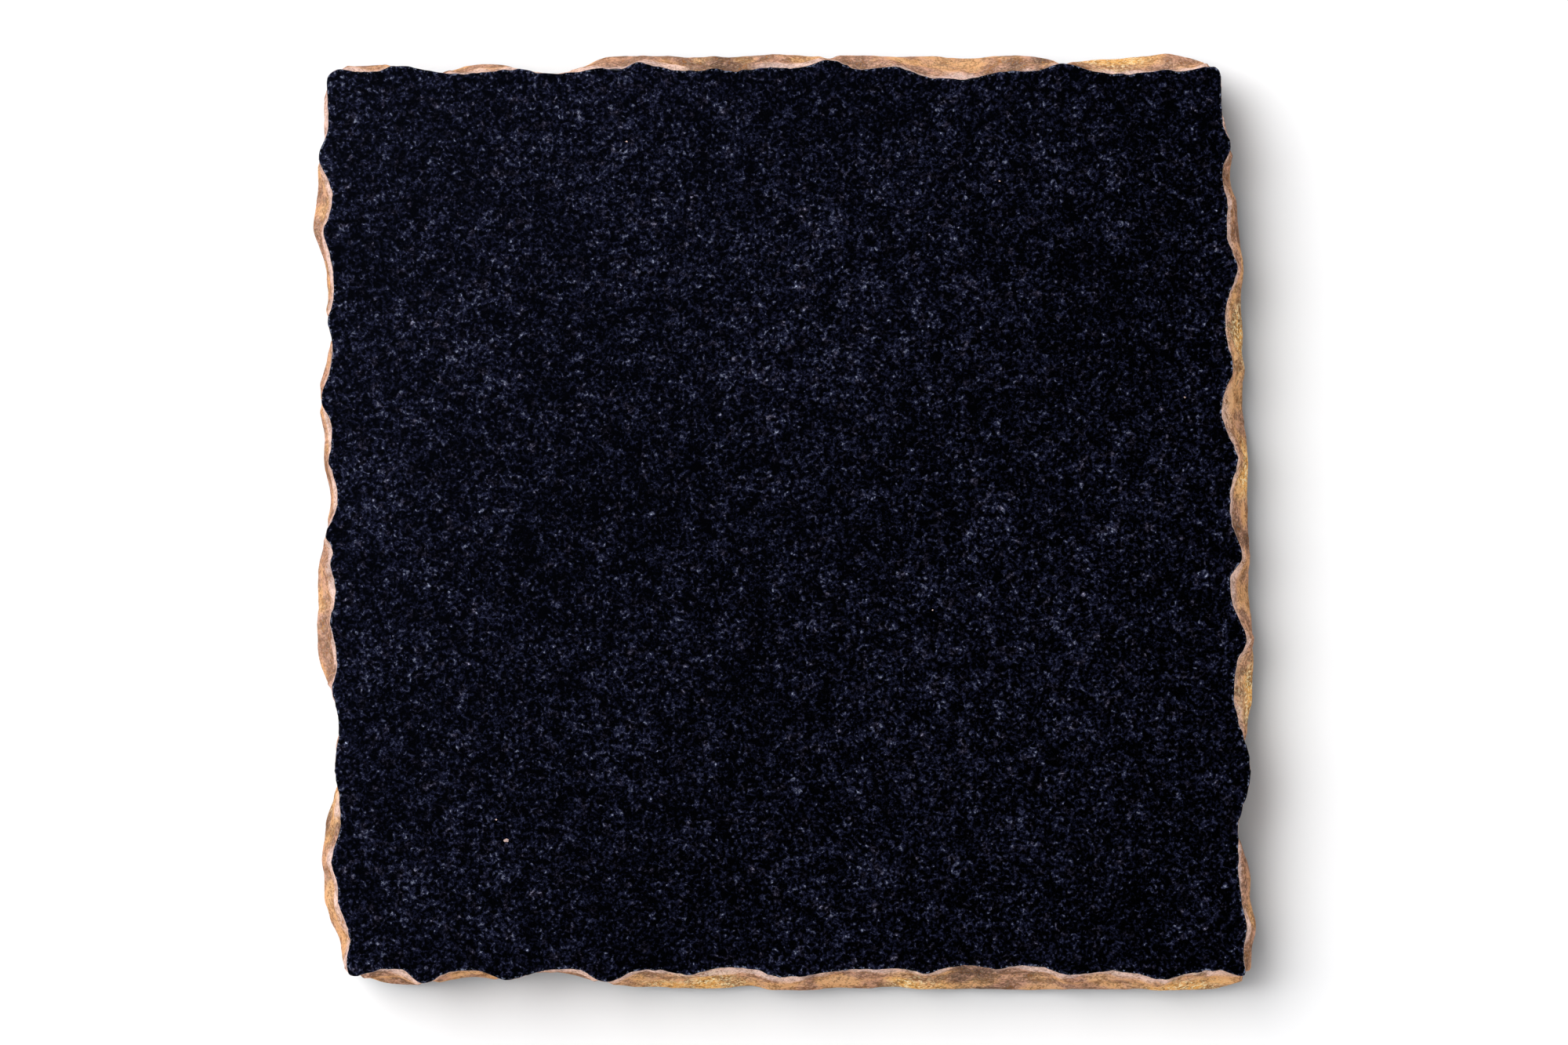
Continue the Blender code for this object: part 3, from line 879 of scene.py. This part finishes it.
def gilding():
    nodes = new_material("gilding")
    below = nodes.attribute("below_rim")
    hollow = nodes.attribute("hollow")
    shiny_and_highlit = nodes.attribute("shiny_leaf_and_painted_highlight")
    thin = nodes.attribute("thin_leaf")
    upright = nodes.place(stretch=(1.0, 1.0, 1.4))
    broad = nodes.noise(upright, 3.6, 2.0)
    mottle = nodes.noise(upright, 1.3, 3.0, 0.6)
    fine = nodes.noise(upright, 0.26, 2.0, 0.6)
    flake = nodes.grey(nodes.cells(upright, 0.32))

    # The leaf's own colour: rose gold, yellower in the shiny patches of painted highlight, paler in a
    # band below the rim.
    yellow = nodes.maths("ADD", nodes.fit(broad, 0.44, 0.62, 0.0, 0.45), shiny_and_highlit, clamp=True)
    leaf = nodes.blend(yellow, ROSE_GOLD, YELLOW_GOLD)
    band = nodes.maths("DIVIDE", below, nodes.fit(broad, 0.35, 0.65, 0.45, 2.4))
    pink = nodes.fit(band, 0.25, 1.1, 0.8, 0.0)
    pink = nodes.times(pink, nodes.fit(shiny_and_highlit, 0.2, 0.8, 1.0, 0.25))
    pink = nodes.times(pink, nodes.fit(thin, 0.2, 0.8, 1.0, 0.0))
    leaf = nodes.blend(pink, leaf, PALE_PINK)

    # How light it is: grains and flakes over slower mottling, with painted shade darker in the hollows.
    power = nodes.sum(
        nodes.centred(fine, 3.4),
        nodes.centred(flake, 0.7),
        nodes.centred(mottle, 3.6),
        nodes.centred(broad, 2.6),
        nodes.times(hollow, -0.5),
        nodes.times(thin, -0.8),
        # Painted highlight: lighter in the shiny patches.
        nodes.times(shiny_and_highlit, 0.25),
    )
    calm = nodes.fit(pink, 0.0, 0.8, 1.0, 0.45)
    tone = nodes.maths("EXPONENT", nodes.times(power, calm))
    leaf = nodes.scaled(leaf, nodes.maths("MINIMUM", tone, MOST_TONE))

    # Darker and browner than the leaf in the deepest grains, more so further below the rim.
    speck = nodes.sum(nodes.times(fine, 0.6), nodes.times(mottle, 0.4))
    deep_grain_brown = nodes.fit(speck, 0.34, 0.48, 0.9, 0.0)
    deep_grain_brown = nodes.times(deep_grain_brown, nodes.fit(below, 0.1, 0.9, 0.3, 1.0))
    leaf = nodes.blend(deep_grain_brown, leaf, DEEP_GRAIN_BROWN)

    # Painted glints: painted highlights as a pale colour on the brightest grains.
    painted_glint = nodes.fit(nodes.noise(upright, 0.34, 2.0, 0.7), 0.51, 0.59)
    painted_glint = nodes.times(painted_glint, nodes.fit(shiny_and_highlit, 0.05, 0.6, 0.08, 1.0))
    leaf = nodes.blend(painted_glint, leaf, PAINTED_GLINT)

    roughness = nodes.sum(
        nodes.fit(mottle, 0.3, 0.7, 0.26, 0.46),
        nodes.times(shiny_and_highlit, -0.10),
        nodes.times(deep_grain_brown, 0.3),
        nodes.times(pink, 0.12),
    )
    wrinkles = nodes.bump(nodes.noise(nodes.place(), 0.5, 3.0, 0.6), 0.20)
    normal = nodes.bump(nodes.sum(fine, nodes.times(flake, 0.35)), 0.09, under=wrinkles)
    metal = nodes.sum(nodes.fit(tone, 0.3, 1.1, 0.1, 0.55), nodes.times(shiny_and_highlit, 0.3))
    metal = nodes.times(metal, nodes.fit(deep_grain_brown, 0.0, 0.9, 1.0, 0.1))
    nodes.set(Base_Color=leaf, Metallic=metal, Roughness=roughness, Normal=normal)
    # Without the clear reflection of a plastic, the dark parts keep their colour at grazing angles.
    nodes.set(Specular_Tint=(0.80, 0.46, 0.26, 1.0), Specular_IOR_Level=0.0)
    return nodes.owner


# ---------------------------------------------------------------- the feet's materials


def foot_rubber():
    nodes = new_material("foot_rubber")
    mottle = nodes.noise(nodes.place(), 1.2, 4.0, 0.6)
    dust = nodes.fit(mottle, 0.52, 0.72, 0.0, 0.5)
    colour = nodes.blend(dust, (0.018, 0.018, 0.019), (0.07, 0.068, 0.065))
    skin = nodes.noise(nodes.place(), 0.09, 3.0, 0.6)
    roughness = nodes.fit(mottle, 0.3, 0.7, 0.62, 0.82)
    nodes.set(Base_Color=colour, Roughness=roughness, Normal=nodes.bump(skin, 0.02, 0.7))
    return nodes.owner


def foot_adhesive():
    nodes = new_material("foot_adhesive")
    pore = nodes.fit(nodes.cells(nodes.place(), 0.10, "Distance"), 0.1, 0.5)
    mottle = nodes.noise(nodes.place(), 0.6, 3.0)
    colour = nodes.blend(pore, (0.50, 0.50, 0.48), (0.74, 0.74, 0.71))
    colour = nodes.blend(nodes.fit(mottle, 0.5, 0.7, 0.0, 0.4), colour, (0.42, 0.39, 0.34))
    nodes.set(Base_Color=colour, Roughness=0.8, Normal=nodes.bump(pore, 0.03, 0.8))
    return nodes.owner


# ---------------------------------------------------------------- the studio


# How white the sky is at each height, from the horizon at 0 to the zenith at 1.
SKY_GREYS = ((0.0, 1.0), (0.10, 1.0), (0.30, 0.30), (0.46, 0.12), (0.80, 0.03), (0.96, 0.006))
SKY_STRENGTH = 1.08
GLOW = (0.018, 0.024, 0.058)

# Each light's elevation and azimuth, counterclockwise from +X, its strength, its spread, and whether
# reflections show it. All but the key light would veil the polished face.
SIDE_AZIMUTH = 145.0
LIGHTS = {
    "key_light": (68.5, 159.0, 0.55, 24.0, True),
    "side_light": (47.0, SIDE_AZIMUTH, 2.9, 50.0, False),
    "soft_light": (75.0, 175.0, 1.25, 60.0, False),
    "fill_light": (90.0, 0.0, 0.20, 180.0, False),
}

FLOOR_HALF_WIDTH = 4000.0


def make_floor():
    half = FLOOR_HALF_WIDTH
    points = [(-half, -half, 0), (half, -half, 0), (half, half, 0), (-half, half, 0)]
    nodes = new_material("floor")
    nodes.set(Base_Color=(0.8, 0.8, 0.8, 1.0), Roughness=1.0, Specular_IOR_Level=0.0)
    floor = add_mesh("floor", points, [(0, 1, 2, 3)], (nodes.owner,))


def make_sun(name, elevation, azimuth, strength, spread, in_reflections):
    """A soft light from far off."""
    data = bpy.data.lights.new(name, "SUN")
    data.energy = strength
    data.angle = math.radians(spread)
    light = bpy.data.objects.new(name, data)
    e, a = math.radians(elevation), math.radians(azimuth)
    towards = Vector((math.cos(e) * math.cos(a), math.cos(e) * math.sin(a), math.sin(e)))
    light.rotation_mode = "QUATERNION"
    light.rotation_quaternion = towards.to_track_quat("Z", "Y")
    light.visible_glossy = in_reflections
    bpy.context.scene.collection.objects.link(light)


def make_world():
    """White low down all round, dimmer overhead, with a faint blue glow on the side light's side of the
    zenith."""
    nodes = Nodes(bpy.data.worlds.new("studio"), "Background")
    direction = nodes.add("ShaderNodeTexCoord").outputs["Generated"]
    height = nodes.add("ShaderNodeSeparateXYZ", {0: direction}).outputs["Z"]
    ramp = nodes.add("ShaderNodeValToRGB", {0: height})
    elements = ramp.color_ramp.elements
    while len(elements) < len(SKY_GREYS):
        elements.new(0.5)
    for element, (position, grey) in zip(elements, SKY_GREYS):
        element.position = position
        element.color = (grey, grey, grey, 1.0)
    azimuth = math.radians(SIDE_AZIMUTH)
    towards = nodes.dot(direction, (math.cos(azimuth), math.sin(azimuth), 0.0))
    glowing = nodes.fit(towards, -0.06, 0.10)
    colour = nodes.blend(glowing, ramp.outputs["Color"], GLOW, "ADD")
    nodes.set(Color=colour, Strength=SKY_STRENGTH)
    bpy.context.scene.world = nodes.owner


def make_studio():
    make_floor()
    make_world()
    for name, settings in LIGHTS.items():
        make_sun(name, *settings)
    bpy.context.scene.view_settings.view_transform = "Standard"


# ---------------------------------------------------------------- the whole scene


def show(piece, slot, *nodes):
    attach(piece, "root")
    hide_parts(*nodes)


def main():
    make_camera()
    side = Side(Grid())
    slab = make_slab(side, polished_granite(), broken_granite(), sawn_granite())
    show(slab, "polished_granite", "granite_slab")
    show(make_film(side, gilding()), "gilding", "gilded_edge")
    rubber, foam = foot_rubber(), foot_adhesive()
    for place in ("near_left", "near_right", "far_left", "far_right"):
        show(make_foot(place, rubber), "foot_rubber", "foot_" + place)
        show(make_adhesive(place, foam), "foot_adhesive", "foot_adhesive_" + place)
    make_studio()


main()
